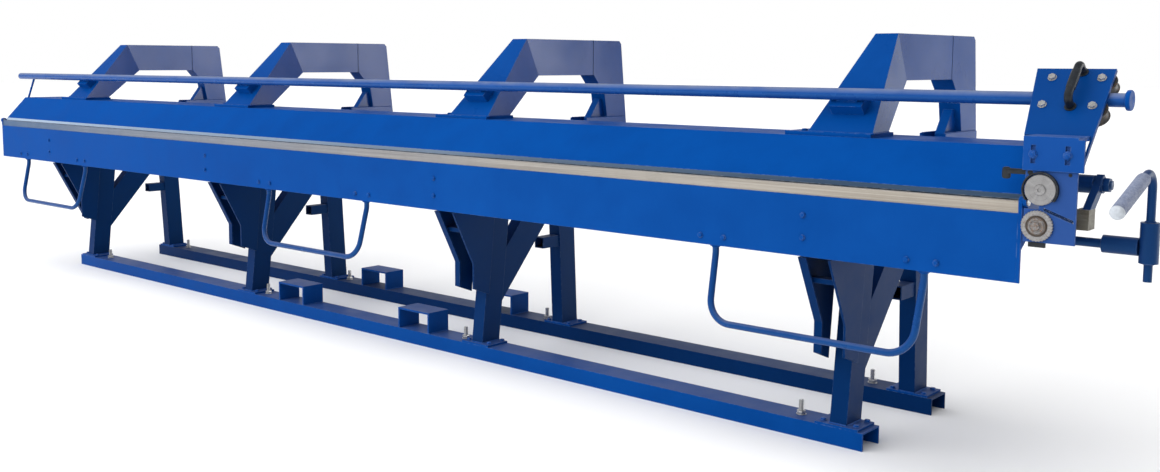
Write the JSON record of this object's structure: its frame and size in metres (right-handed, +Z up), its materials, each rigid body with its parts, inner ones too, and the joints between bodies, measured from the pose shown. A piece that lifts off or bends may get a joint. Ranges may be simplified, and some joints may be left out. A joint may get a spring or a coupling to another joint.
{
  "type": "roofing sheet metal folder",
  "caption": "Long hand operated sheet metal folder with a lever-closed clamping beam on swan neck arms, a folding apron with lift handles and a slitting carriage on a guide tube.",
  "frame": {"origin": "on the floor, at the centre of the rectangle of levelling studs, midway between the two base rails", "axes": "+X along the bend line towards the clamp lever, +Y from the operator to the back, +Z up"},
  "size_m": [6.658, 1.321, 1.323],
  "materials": {
    "blue_paint": "gloss",
    "beige_steel": "satin",
    "bare_steel": "satin",
    "zinc_steel": "satin",
    "worn_steel": "matt",
    "black_paint": "satin",
    "grey_grip": "matt"
  },
  "bodies": {
    "frame": {"base_rail_front": "blue_paint", "base_rail_rear": "blue_paint", "fork_pockets": "blue_paint", "levelling_studs": "zinc_steel", "front_legs": "blue_paint", "rear_legs": "blue_paint", "leg_braces": "blue_paint", "foot_plates": "blue_paint", "foot_bolts": "blue_paint", "leg_cheeks": "blue_paint", "lower_beam": "blue_paint", "fixed_jaw": "bare_steel", "beam_end_plates": "blue_paint", "apron_hinge_pins": "bare_steel", "throat_arms": "blue_paint", "pivot_lugs": "blue_paint", "pivot_pins": "bare_steel"},
    "clamp": {"clamp_jaw": "bare_steel", "clamp_beam": "blue_paint", "swan_neck_arms": "blue_paint", "columns": "blue_paint", "column_foot_plates": "blue_paint", "column_ribs": "blue_paint", "pivot_bushes": "bare_steel", "arm_base_plates": "blue_paint", "arm_base_bolts": "zinc_steel", "guide_tube": "blue_paint", "tube_end_stop": "blue_paint", "tube_saddles": "blue_paint", "tube_strut": "blue_paint", "end_stud": "blue_paint", "adjusting_link": "blue_paint", "adjusting_nut": "blue_paint", "adjusting_block": "beige_steel"},
    "apron": {"apron_channel": "blue_paint", "apron_bolts": "blue_paint", "folding_strip": "beige_steel", "apron_ears": "blue_paint", "apron_ribs": "blue_paint", "lift_handles": "blue_paint"},
    "clamp_lever": {"clamp_shaft": "blue_paint", "shaft_sleeve": "blue_paint", "lever_hub": "blue_paint", "lever_bar": "blue_paint", "lever_grip": "grey_grip"},
    "carriage": {"carriage_plate": "blue_paint", "roller_axles": "zinc_steel", "bow_handle": "black_paint", "slide_plate": "blue_paint", "blade_plate": "blue_paint", "clip_bolts": "blue_paint", "carriage_pins": "zinc_steel", "blade_guard_ring": "black_paint"},
    "roller_1": {"roller_1": "worn_steel"},
    "roller_2": {"roller_2": "worn_steel"},
    "roller_3": {"roller_3": "worn_steel"},
    "roller_4": {"roller_4": "worn_steel"},
    "upper_blade": {"upper_blade": "bare_steel"},
    "lower_blade": {"lower_blade": "worn_steel"},
    "blade_latch": {"blade_latch": "black_paint"}
  },
  "joints": [
    {"name": "clamp_lift", "type": "hinge", "parent": "frame", "child": "clamp", "pos_m": [0, 0.56, 0.905], "axis": [-1, 0, 0], "range_deg": [0, 5]},
    {"name": "apron_fold", "type": "hinge", "parent": "frame", "child": "apron", "pos_m": [0, -0.508, 0.86], "axis": [-1, 0, 0], "range_deg": [0, 130]},
    {"name": "lever_swing", "type": "hinge", "parent": "frame", "child": "clamp_lever", "pos_m": [3.366, -0.37, 0.748], "axis": [-1, 0, 0], "range_deg": [0, 100]},
    {"name": "carriage_slide", "type": "slide", "parent": "clamp", "child": "carriage", "axis": [1, 0, 0], "range_m": [-6.1, 0]},
    {"name": "roller_1_spin", "type": "hinge", "parent": "carriage", "child": "roller_1", "pos_m": [3.079, -0.28035, 1.16547], "axis": [0, -0.7151, 0.699], "continuous": true},
    {"name": "roller_2_spin", "type": "hinge", "parent": "carriage", "child": "roller_2", "pos_m": [3.209, -0.28035, 1.16547], "axis": [0, -0.7151, 0.699], "continuous": true},
    {"name": "roller_3_spin", "type": "hinge", "parent": "carriage", "child": "roller_3", "pos_m": [3.079, -0.35165, 1.09253], "axis": [0, -0.7151, 0.699], "continuous": true},
    {"name": "roller_4_spin", "type": "hinge", "parent": "carriage", "child": "roller_4", "pos_m": [3.209, -0.35165, 1.09253], "axis": [0, -0.7151, 0.699], "continuous": true},
    {"name": "upper_blade_spin", "type": "hinge", "parent": "carriage", "child": "upper_blade", "pos_m": [3.141, -0.54, 0.897], "axis": [0, -1, 0], "continuous": true},
    {"name": "lower_blade_spin", "type": "hinge", "parent": "carriage", "child": "lower_blade", "pos_m": [3.136, -0.54, 0.801], "axis": [0, -1, 0], "continuous": true},
    {"name": "latch_swing", "type": "hinge", "parent": "carriage", "child": "blade_latch", "pos_m": [3.112, -0.525, 0.941], "axis": [0, 1, 0], "range_deg": [0, 60]}
  ],
  "couplings": [
    {"joint": "lever_swing", "follows": "clamp_lift", "ratio": 20},
    {"joint": "roller_1_spin", "follows": "carriage_slide", "rad_per_m": -31.25},
    {"joint": "roller_2_spin", "follows": "carriage_slide", "rad_per_m": -31.25},
    {"joint": "roller_3_spin", "follows": "carriage_slide", "rad_per_m": 31.25},
    {"joint": "roller_4_spin", "follows": "carriage_slide", "rad_per_m": 31.25}
  ]
}
